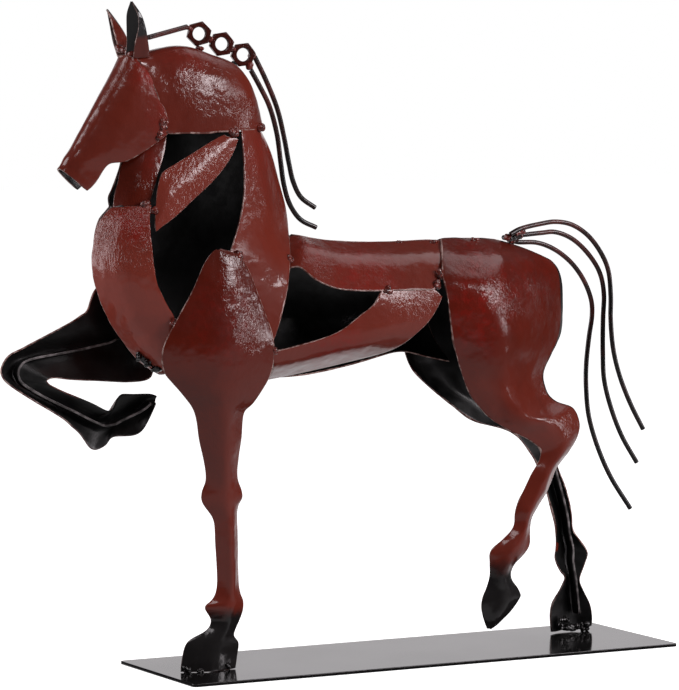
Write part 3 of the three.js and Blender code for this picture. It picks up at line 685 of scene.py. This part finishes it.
# Both hind legs, too, turn lighter towards the bottom as painted light from below.
hammer("near_hind_leg", NEAR, tone=between(140, 195, 0.35, 0.03), depth=2.2, size=15, seed=18,
       soot=black_below(34, 76), redness=[(30, 210, 26, 0.9), (40, 235, 24, 0.6), (90, 225, 24, 0.4)],
       wrinkle=[(36, 238, 22, 1.2), (44, 216, 24, 1.4), (78, 218, 22, 1.6), (88, 165, 13, 2.6),
                (97, 139, 17, 1.5)], thin=[(95, 198, 28, 1.1), (57, 190, 20, 1.3), (62, 156, 17, 1.4)])
hammer("far_hind_leg", FAR, tone=between(150, 215, 0.35, 0.1), depth=2.0, size=15, seed=19,
       soot=black_below(34, 52), redness=[(40, 225, 26, 0.6)], wrinkle=[(60, 232, 34, 1.2)])

# %% [markdown]
# ## Stiffening strips
#
# Inside each leg a flat strip stands on edge and keeps the thin sheet from folding. It is
# the same black steel, so the same net and the same tree serve, with hardly any dents and
# with black paint on both of its faces. Only its cut edge shines a little.

# %% Strips
# Black paint rubbed back to grey metal along the edge, made lighter still as a painted highlight, draws a
# light line inside the leg.
strip_edge, add, shader = new_material("black_paint_worn_on_the_edge_of_a_strip")
wear_and_painted_highlight = soft_patches(add, 5, 0.35, 0.7, detail=3.0, roughness=0.6)
grey = add("ShaderNodeMix", COLOURS, i0=wear_and_painted_highlight, i6=linear("454141"), i7=linear("989292"))
set_inputs(shader, Base_Color=grey, Roughness=0.35)
black_strip = hammered_sheet_tree("black_strip", inside_black, inside_black, strip_edge)

STRIPS = [("near_foreleg_rib", FAR), ("far_foreleg_rib", NEAR), ("near_hind_rib", FAR),
          ("far_hind_rib", NEAR)]
for seed, (strip, side) in enumerate(STRIPS, 20):
    hammer(strip, side, depth=0.1, size=14, seed=seed, slot="black_inside_paint", tree=black_strip)

# %% [markdown]
# ## Rods
#
# Mane and tail are bent from round rod 3 mm thick. Each follows the same points as its
# solid, and only the forelock rod runs on at both ends until it touches the ear and the
# nut. A curve with a bevel would do, but a tree can also wander the radius a little, as a
# hammered and painted rod does, and it leaves an attribute that counts from 0 to 1 along
# the rod. The paint reads it, because the long rods are red-brown only near their root and
# black where they were heated for bending. The short one stayed red-brown.

# %% Geometry Nodes: a bent rod
ROD_SIDES = 20


def bent_rod_tree(name, material):
    tree, add, given = new_geometry_tree(name, (("Radius", 'Float', 1.5 * MM), ("Step", 'Float', 1.2 * MM),
                                                ("Wander", 'Float', 0.06)))
    line = add("GeometryNodeResampleCurve", {"mode": 'LENGTH'}, Curve=given["Geometry"], Length=given["Step"])
    kept = add("GeometryNodeStoreNamedAttribute", {"domain": 'POINT'}, Geometry=line, Name="along",
               Value=add("GeometryNodeSplineParameter"))
    waver = add("ShaderNodeTexNoise", Scale=120.0, Detail=1.0)
    part = add("ShaderNodeMath", MINUS, i0=waver, i1=0.5)
    share = add("ShaderNodeMath", TIMES_PLUS, i0=part, i1=given["Wander"], i2=1.0)
    size = add("ShaderNodeMath", TIMES, i0=share, i1=given["Radius"])
    ring = add("GeometryNodeCurvePrimitiveCircle", Resolution=ROD_SIDES, Radius=1.0)
    tube = add("GeometryNodeCurveToMesh", Curve=kept, Profile_Curve=ring, Scale=size, Fill_Caps=True)
    shaded = add("GeometryNodeSetShadeSmooth", Geometry=tube)
    real = add("GeometryNodeRealizeInstances", Geometry=shaded)
    add("NodeGroupOutput", Geometry=add("GeometryNodeSetMaterial", Geometry=real, Material=material))
    return tree


# %% Rod paint
def rod_paint(name, heated):
    """Brushed lacquer, glossier than on the sheets. heated says how black it turns, from 0 to 1."""
    material, add, shader = new_material(name)
    along = add("ShaderNodeAttribute", {"attribute_name": "along"}).outputs["Fac"]
    root = add("ShaderNodeMapRange", SMOOTH, Value=along, From_Min=0.02, From_Max=0.10, To_Min=0.7,
               To_Max=0.0)
    tip = add("ShaderNodeMapRange", SMOOTH, Value=along, From_Min=0.15, From_Max=0.6, To_Max=0.95)
    ends = add("ShaderNodeMath", PLUS, i0=root, i1=tip)
    uneven = soft_patches(add, 12, 0.35, 0.75, -0.15, 0.3, detail=3.0)
    dark = add("ShaderNodeMath", TIMES_PLUS, i0=ends, i1=heated, i2=uneven)
    browner = soft_patches(add, 8, 0.4, 0.65)
    warm = add("ShaderNodeMix", COLOURS, i0=browner, i6=linear("57201a"), i7=linear("2f1411"))
    colour = add("ShaderNodeMix", COLOURS, i0=dark, i6=warm, i7=linear("0b0a0a"))
    bump = add("ShaderNodeBump", Strength=0.25, Distance=0.2 * MM, Height=mottle(add, 1.6, 3.0))
    set_inputs(shader, Base_Color=colour, Roughness=0.26, Coat_Weight=0.2, Normal=bump)
    return material


long_rod = bent_rod_tree("long_bent_rod", rod_paint("red_brown_lacquer_on_long_rod", 1.0))
short_rod = bent_rod_tree("short_rod", rod_paint("red_brown_lacquer_on_short_rod", 0.15))


# %% Bend the rods
def smooth_line(points, steps=8):
    """Points along a centripetal Catmull-Rom curve, the one that the solids' rods follow."""
    given = [Vector(point) for point in points]
    line = []
    for i in range(len(given) - 1):
        p1, p2 = given[i], given[i + 1]
        p0 = given[i - 1] if i else p1 * 2 - p2
        p3 = given[i + 2] if i + 2 < len(given) else p2 * 2 - p1
        t1, t2, t3 = [(b - a).length ** 0.5 for a, b in ((p0, p1), (p1, p2), (p2, p3))]
        m1 = (p1 - p0) / t1 - (p2 - p0) / (t1 + t2) + (p2 - p1) / t2
        m2 = (p2 - p1) / t2 - (p3 - p1) / (t2 + t3) + (p3 - p2) / t3
        m1, m2 = m1 * t2, m2 * t2
        for k in range(steps):
            t = k / steps
            line.append(p1 * (2 * t ** 3 - 3 * t ** 2 + 1) + m1 * (t ** 3 - 2 * t ** 2 + t)
                        + p2 * (3 * t ** 2 - 2 * t ** 3) + m2 * (t ** 3 - t ** 2))
    return line + [given[-1]]


def bend_rod(name, points, tree):
    line = smooth_line(points)
    curve = bpy.data.curves.new(name, 'CURVE')
    curve.dimensions = '3D'
    spline = curve.splines.new('POLY')
    spline.points.add(len(line) - 1)
    for point, place in zip(spline.points, line):
        point.co = (*(place * MM), 1.0)
    piece = link_object(name + "_bent", curve)
    use_tree(piece, tree)
    length = sum((b - a).length for a, b in zip(line, line[1:]))
    piece = finished_mesh(piece)
    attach(piece, "root")
    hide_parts(name)
    print(name, "is", round(length), "mm long,", len(piece.data.polygons), "faces")


LONG_RODS = {
    "mane_rod_near": [(-103, -2, 353), (-97.5, -2, 344), (-91, -2, 332), (-86, -2, 315.5),
        (-83.5, -2, 298.5), (-81.5, -2, 286), (-77.5, -2, 274), (-70.5, -2, 265), (-60, -2, 260)],
    "mane_rod_far": [(-98.5, 2.2, 361), (-91, 2.2, 347), (-83.5, 2.2, 330), (-79, 2.2, 313),
        (-76, 2.2, 298.5), (-73, 2.2, 287), (-68, 2.2, 278), (-58.5, 2.2, 271.5)],
    "tail_rod_top": [(72, -4.6, 252.8), (79, -4, 255.7), (93, -4, 258.4), (104, -4, 259.5),
        (115.5, -4, 257.5), (127, -4, 250.8), (136.5, -4, 240), (142, -4, 229), (144, -4, 213),
        (144, -4, 199), (146, -4, 180), (150.5, -4, 164), (158.5, -4, 146), (168, -4, 129.5)],
    "tail_rod_middle": [(75, 0, 251.2), (82, 0, 251.7), (96.5, 0, 252.7), (106, 0, 253),
        (118.5, 0, 248.5), (130.5, 0, 238.5), (138.5, 0, 227), (141.5, 0, 214.5), (141, 0, 198.5),
        (141, 0, 177), (142, 0, 161), (147, 0, 143.5), (155, 0, 125.5), (166, 0, 108.5)],
    "tail_rod_low": [(75, 3, 248.9), (82, 4, 247.3), (96, 4, 246.5), (108.5, 4, 242), (121, 4, 233),
        (130, 4, 221.5), (135, 4, 209.5), (135.5, 4, 200.5), (133.5, 4, 188), (131.5, 4, 170.5),
        (131.5, 4, 156), (133.5, 4, 138.5), (140, 4, 119), (149.5, 4, 100), (164, 4, 79.5)],
}
for name, points in LONG_RODS.items():
    bend_rod(name, points, long_rod)
bend_rod("forelock_rod", [(-174.2, -12, 372.6), (-144.2, -0.7, 378.5)], short_rod)

# %% [markdown]
# ## Nuts
#
# The mane's nuts are plain M8 hexagons, 13 mm across flats. A bevel on a six-sided
# cylinder would round the corners evenly, but a real nut is turned: a cone cuts its six
# corners and leaves a curved edge on each flat, and a thread runs round the hole. Both
# follow from the radius, so the nut is one grid: angles one way, and its profile from the
# hole over the top, down the flats and back the other way.

# %% Turn a nut
NUT_FLATS, NUT_HEIGHT, NUT_HOLE = 13.0, 4.5, 8.0      # mm
NUT_CHAMFER, CHAMFER_SLOPE = 6.35, math.tan(math.radians(32))     # the cone starts at this radius
NUT_FACE = 5.2                            # mm, a ring of points that keeps the top flat
ROUNDING = 0.12                           # mm at each corner of the profile
THREAD_PITCH, THREAD_DEPTH, THREAD_HEIGHT, THREAD_STEPS = 1.25, 0.27, 3.8, 26
NUT_MOUTH = NUT_HOLE / 2 + 0.45
NUT_SIDES = 120
NUT_TURN = math.radians(14)
NUT_PLACES = {"mane_nut_front": (-136.0, 374.5, 15.0), "mane_nut_middle": (-121.3, 368.5, 9.0),
              "mane_nut_rear": (-107.3, 362.2, 7.0)}


def hexagon_radius(angle):
    return NUT_FLATS / 2 / math.cos((angle + math.pi / 6) % (math.pi / 3) - math.pi / 6)


def nut_ring(angle, turn):
    """The nut's profile at this angle: distance from the axis and height, in mm."""
    half = NUT_HEIGHT / 2
    edge = hexagon_radius(angle - turn - math.pi / 6)
    drop = max(0.0, edge - NUT_CHAMFER) * CHAMFER_SLOPE + ROUNDING
    thread = []
    for k in range(THREAD_STEPS + 1):
        height = THREAD_HEIGHT * (k / THREAD_STEPS - 0.5)
        wave = abs(((height / THREAD_PITCH - angle / (2 * math.pi)) % 1.0) * 2 - 1)
        thread.append((NUT_HOLE / 2 + THREAD_DEPTH * (wave - 0.5), height))
    upper = [(NUT_MOUTH, half), (NUT_FACE, half), (min(edge - 0.15, NUT_CHAMFER), half),
             (edge - 0.03, half - drop), (edge, half - drop - ROUNDING)]
    lower = [(radius, -height) for radius, height in reversed(upper)]
    return thread + upper + [(edge, 0.0)] + lower


def turn_nut(name, x, z, degrees):
    turn = math.radians(degrees)
    stand = (Matrix.Translation((x * MM, 0, z * MM)) @ Matrix.Rotation(math.pi / 2, 4, 'X')
             @ Matrix.Rotation(-NUT_TURN, 4, 'Y'))
    places = []
    for k in range(NUT_SIDES):
        angle = 2 * math.pi * k / NUT_SIDES
        ring = nut_ring(angle, turn)
        places += [stand @ (Vector((r * math.cos(angle), r * math.sin(angle), height)) * MM)
                   for r, height in ring]
    count = len(ring)
    faces = [(k * count + j, k * count + (j + 1) % count, (k + 1) % NUT_SIDES * count + (j + 1) % count,
              (k + 1) % NUT_SIDES * count + j) for k in range(NUT_SIDES) for j in range(count)]
    mesh = bpy.data.meshes.new(name)
    mesh.from_pydata(places, [], faces)
    net = bmesh.new()
    net.from_mesh(mesh)
    bmesh.ops.recalc_face_normals(net, faces=net.faces)
    net.to_mesh(mesh)
    net.free()
    mesh.shade_smooth()
    mesh.set_sharp_from_angle(angle=math.radians(28))
    mesh.materials.append(nut_paint)
    piece = link_object(name + "_turned", mesh)
    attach(piece, "root")
    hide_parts(name)
    print(name, len(mesh.polygons), "faces")


# The sheets' lacquer, thicker and so darker on the small nuts.
nut_paint = lacquer("red_brown_lacquer_on_hexagon_nut", linear("4e180e"), linear("2a100d"), 0.8, 0.9)
for name, (x, z, degrees) in NUT_PLACES.items():
    turn_nut(name, x, z, degrees)

# %% [markdown]
# ## Weld lumps
#
# The sheets are held by short tack welds, and each is a heap of a few molten drops. A tree
# makes them from points: on every point it sets a handful of small spheres, squashed and
# turned at random, and melts the heap into one skin through a volume. The point's own
# attributes say how large its drops are and how far they are strewn. Because the drops
# overlap the sheets, the welds stand in the seams from every side.

# %% Geometry Nodes: weld lumps
WHOLE_TURN = 6.2                # radians, just short of a full circle


def weld_tree(material):
    tree, add, given = new_geometry_tree("weld_lumps", (("Drops", 'Int', 6), ("Seed", 'Int', 1),
                                                        ("Grain", 'Float', 0.4 * MM)))

    def random_vector(low, high, salt):
        seed = add("FunctionNodeIntegerMath", PLUS, i0=given["Seed"], i1=salt)
        return add("FunctionNodeRandomValue", {"data_type": 'FLOAT_VECTOR'}, i0=(low,) * 3, i1=(high,) * 3,
                   Seed=seed)

    reach = add("GeometryNodeInputNamedAttribute", {"data_type": 'FLOAT_VECTOR'}, Name="reach")
    size = add("GeometryNodeInputNamedAttribute", {"data_type": 'FLOAT'}, Name="size")
    heap = add("GeometryNodeDuplicateElements", {"domain": 'POINT'}, Geometry=given["Geometry"],
               Amount=given["Drops"])
    spread = add("ShaderNodeVectorMath", TIMES, i0=reach, i1=random_vector(-1, 1, 0))
    strewn = add("GeometryNodeSetPosition", Geometry=heap, Offset=spread)
    drop = add("GeometryNodeMeshIcoSphere", Radius=1.0, Subdivisions=3)
    squashed = add("ShaderNodeVectorMath", SCALED, Vector=random_vector(0.6, 1.15, 1), Scale=size)
    turned = add("FunctionNodeEulerToRotation", Euler=random_vector(0, WHOLE_TURN, 2))
    drops = add("GeometryNodeInstanceOnPoints", Points=strewn, Instance=drop, Rotation=turned, Scale=squashed)
    volume = add("GeometryNodeMeshToVolume", {"resolution_mode": 'VOXEL_SIZE'},
                 Mesh=add("GeometryNodeRealizeInstances", Geometry=drops), Voxel_Size=given["Grain"],
                 Density=1.0, Interior_Band_Width=2 * MM)
    skin = add("GeometryNodeVolumeToMesh", Volume=volume, Threshold=0.1)
    shaded = add("GeometryNodeSetShadeSmooth", Geometry=skin)
    real = add("GeometryNodeRealizeInstances", Geometry=shaded)
    add("NodeGroupOutput", Geometry=add("GeometryNodeSetMaterial", Geometry=real, Material=material))
    return tree


# %% Weld paint
def weld_paint(name, light, dark):
    """Paint run over molten lumps: smooth and wet, so each lump has its own glint."""
    material, add, shader = new_material(name)
    mottled = soft_patches(add, 2.5, 0.38, 0.62, detail=3.0)
    colour = add("ShaderNodeMix", COLOURS, i0=mottled, i6=linear(light), i7=linear(dark))
    bump = add("ShaderNodeBump", Strength=0.5, Distance=0.3 * MM, Height=mottle(add, 1.2))
    set_inputs(shader, Base_Color=colour, Roughness=0.2, Coat_Weight=0.5, Normal=bump)
    return material


red_welds = weld_tree(weld_paint("red_brown_lacquer_on_weld_lumps", "80332a", "4c1c16"))
black_welds = weld_tree(weld_paint("black_paint_on_weld_lumps", "161313", "0b0b0b"))


# %% [markdown]
# Five welds have a solid of their own, and their lumps take its place. The others are
# tacks, so small that the solids leave them out. Each is given by its middle, how far its
# drops are strewn along x, y and z, and the radius of a drop, all in millimetres. The
# middle lies on the seam that it closes.

# %% Set the welds
def weld_lumps(name, tree, places, seed, drops, replaced=None):
    middles, reaches, sizes = zip(*places)
    mesh = bpy.data.meshes.new(name)
    mesh.from_pydata([Vector(middle) * MM for middle in middles], [], [])
    lengths = [length * MM for reach in reaches for length in reach]
    mesh.attributes.new("reach", 'FLOAT_VECTOR', 'POINT').data.foreach_set("vector", lengths)
    mesh.attributes.new("size", 'FLOAT', 'POINT').data.foreach_set("value", [size * MM for size in sizes])
    piece = link_object(name + "_lumps", mesh)
    use_tree(piece, tree, Seed=seed, Drops=drops)
    piece = finished_mesh(piece)
    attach(piece, "root")
    if replaced:
        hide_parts(replaced)
    print(name, "faces:", len(piece.data.polygons))


HEAD_TACKS = [((-166.0, -14.4, 322.5), (1.4, 0.5, 1.8), 2.1), ((-168.4, -14.0, 316.0), (1.2, 0.5, 1.6), 1.9),
              ((-182.5, 4.5, 365.0), (1.8, 2.4, 1.8), 2.2), ((-182.5, -4.0, 363.0), (1.8, 2.2, 1.4), 2.0)]
NECK_TACKS = [((-122.6, -17.9, 317.4), (2.0, 0.7, 1.5), 2.3), ((-101.8, -10.2, 319.3), (1.8, 0.9, 1.4), 2.2),
              ((-179.6, -18.2, 276.6), (2.4, 0.8, 1.5), 2.1), ((-175.5, -21.5, 272.8), (1.6, 0.7, 1.6), 1.9),
              ((-126.2, -31.0, 246.6), (1.8, 1.8, 1.6), 2.2), ((-86.0, -18.8, 242.6), (1.4, 0.8, 2.0), 1.9)]
BODY_TACKS = [((-168.4, -32.0, 209.4), (1.2, 1.2, 1.6), 1.9), ((-103.6, -31.6, 190.6), (1.5, 1.8, 1.3), 1.9),
              ((-27.8, -31.2, 223.6), (2.0, 0.7, 1.3), 1.8), ((6.8, -29.2, 226.0), (1.8, 0.9, 2.0), 2.1),
              ((9.8, -28.2, 231.8), (1.0, 0.8, 2.4), 1.8), ((20.0, -3.4, 249.2), (2.6, 1.0, 0.5), 1.6),
              ((-4.0, -2.6, 249.6), (2.4, 0.9, 0.4), 1.4), ((48.0, -2.6, 249.9), (2.0, 1.0, 0.4), 1.5)]
MANE_TACKS = [((-128.8, 0.0, 371.6), (1.2, 1.4, 1.2), 1.7), ((-114.4, 0.0, 365.4), (1.2, 1.4, 1.2), 1.7),
              ((-142.0, -0.6, 377.6), (1.6, 0.7, 0.7), 1.5), ((-103.8, -1.6, 356.0), (1.0, 1.0, 1.8), 1.8),
              ((-100.4, 1.4, 361.8), (1.6, 0.9, 1.2), 1.7)]
TAIL_TACKS = [((78.5, -3.4, 253.6), (3.2, 1.2, 1.2), 1.9), ((79.5, 0.4, 251.4), (3.0, 1.4, 1.0), 2.0),
              ((79.0, 3.6, 248.8), (2.8, 1.0, 1.0), 1.9), ((70.5, -2.6, 250.8), (2.4, 1.2, 0.8), 1.6)]
RED_TACKS = HEAD_TACKS + NECK_TACKS + BODY_TACKS + MANE_TACKS + TAIL_TACKS
weld_lumps("red_tack_welds", red_welds, RED_TACKS, 4, 8)

CHEST_TACKS = [((-177.5, -6.4, 188.4), (2.4, 1.6, 1.8), 2.0), ((-172.6, -7.6, 184.6), (2.4, 1.8, 1.6), 2.0),
               ((-167.6, -9.2, 181.2), (2.4, 2.2, 1.4), 2.0)]
HOOF_TACKS = [((-150.2, -9.8, 4.0), (1.4, 1.8, 1.6), 1.8), ((-143.0, -13.0, 3.6), (2.4, 1.2, 1.4), 1.7),
              ((-124.0, -12.0, 4.4), (1.6, 1.4, 1.6), 1.8), ((124.6, 17.4, 8.0), (2.4, 2.0, 3.2), 2.2),
              ((141.0, 19.0, 5.0), (2.4, 1.6, 1.8), 2.0)]
weld_lumps("black_tack_welds", black_welds, CHEST_TACKS + HOOF_TACKS, 9, 8)

WELDS = [("mane_weld_front", red_welds, (1.4, 1.4, 0.3), 1.3),
         ("mane_weld_rear", black_welds, (1.2, 1.2, 0.4), 1.3),
         ("tail_weld", black_welds, (4.0, 2.4, 0.5), 1.8),
         ("near_fore_weld", black_welds, (4.2, 1.4, 0.9), 2.0),
         ("far_hind_weld", black_welds, (6.6, 1.6, 1.1), 2.4)]
for seed, (name, tree, reach, size) in enumerate(WELDS, 30):
    corners = [solids[name].matrix_world @ Vector(corner) for corner in solids[name].bound_box]
    middle = sum(corners, Vector()) / 8 / MM
    weld_lumps(name, tree, [(middle, reach, size)], seed, 14, replaced=name)

# %% [markdown]
# ## Base plate
#
# The plate is 2 mm sheet with its arrises taken off by a file. Its black paint is the
# glossiest surface of all, and seen so flat it mirrors the white behind the horse, which
# is why it looks light grey from above and black along its front edge.

# %% Plate
ARRIS = 0.35 * MM
ARRIS_FACE = 200 * MM * MM      # the faces of the arris are smaller than this, and are shaded round


def plate_paint():
    """Gloss enamel with a little orange peel: almost a mirror, with a soft breath of dust."""
    material, add, shader = new_material("gloss_black_paint_on_flat_plate")
    dust = soft_patches(add, 40, 0.4, 0.75, detail=4.0, roughness=0.6)
    colour = add("ShaderNodeMix", COLOURS, i0=dust, i6=linear("121212"), i7=linear("1d1c1c"))
    gloss = soft_patches(add, 60, 0.3, 0.7, 0.07, 0.13, detail=3.0)
    peel = add("ShaderNodeBump", Strength=0.06, Distance=0.1 * MM, Height=mottle(add, 3.0))
    set_inputs(shader, Base_Color=colour, Roughness=gloss, Normal=peel)
    return material


plate_mesh = solids["base_plate"].data.copy()
net = bmesh.new()
net.from_mesh(plate_mesh)
bmesh.ops.remove_doubles(net, verts=net.verts, dist=SAME_POINT)
bmesh.ops.dissolve_limit(net, angle_limit=math.radians(1), verts=net.verts, edges=net.edges)
net.to_mesh(plate_mesh)
net.free()
plate = link_object("base_plate_painted", plate_mesh)
bevel = plate.modifiers.new("arris", 'BEVEL')
bevel.width, bevel.segments, bevel.limit_method = ARRIS, 3, 'ANGLE'
plate = finished_mesh(plate)
plate.data.materials.clear()
plate.data.materials.append(plate_paint())
for polygon in plate.data.polygons:
    polygon.use_smooth = polygon.area < ARRIS_FACE
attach(plate, "root")
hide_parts("base_plate")
print("plate", len(plate.data.polygons), "faces")

# %% [markdown]
# ## Finish
#
# The view transform is plain, so that the white behind the horse stays white.

# %% Finish
bpy.context.scene.view_settings.view_transform = 'Standard'
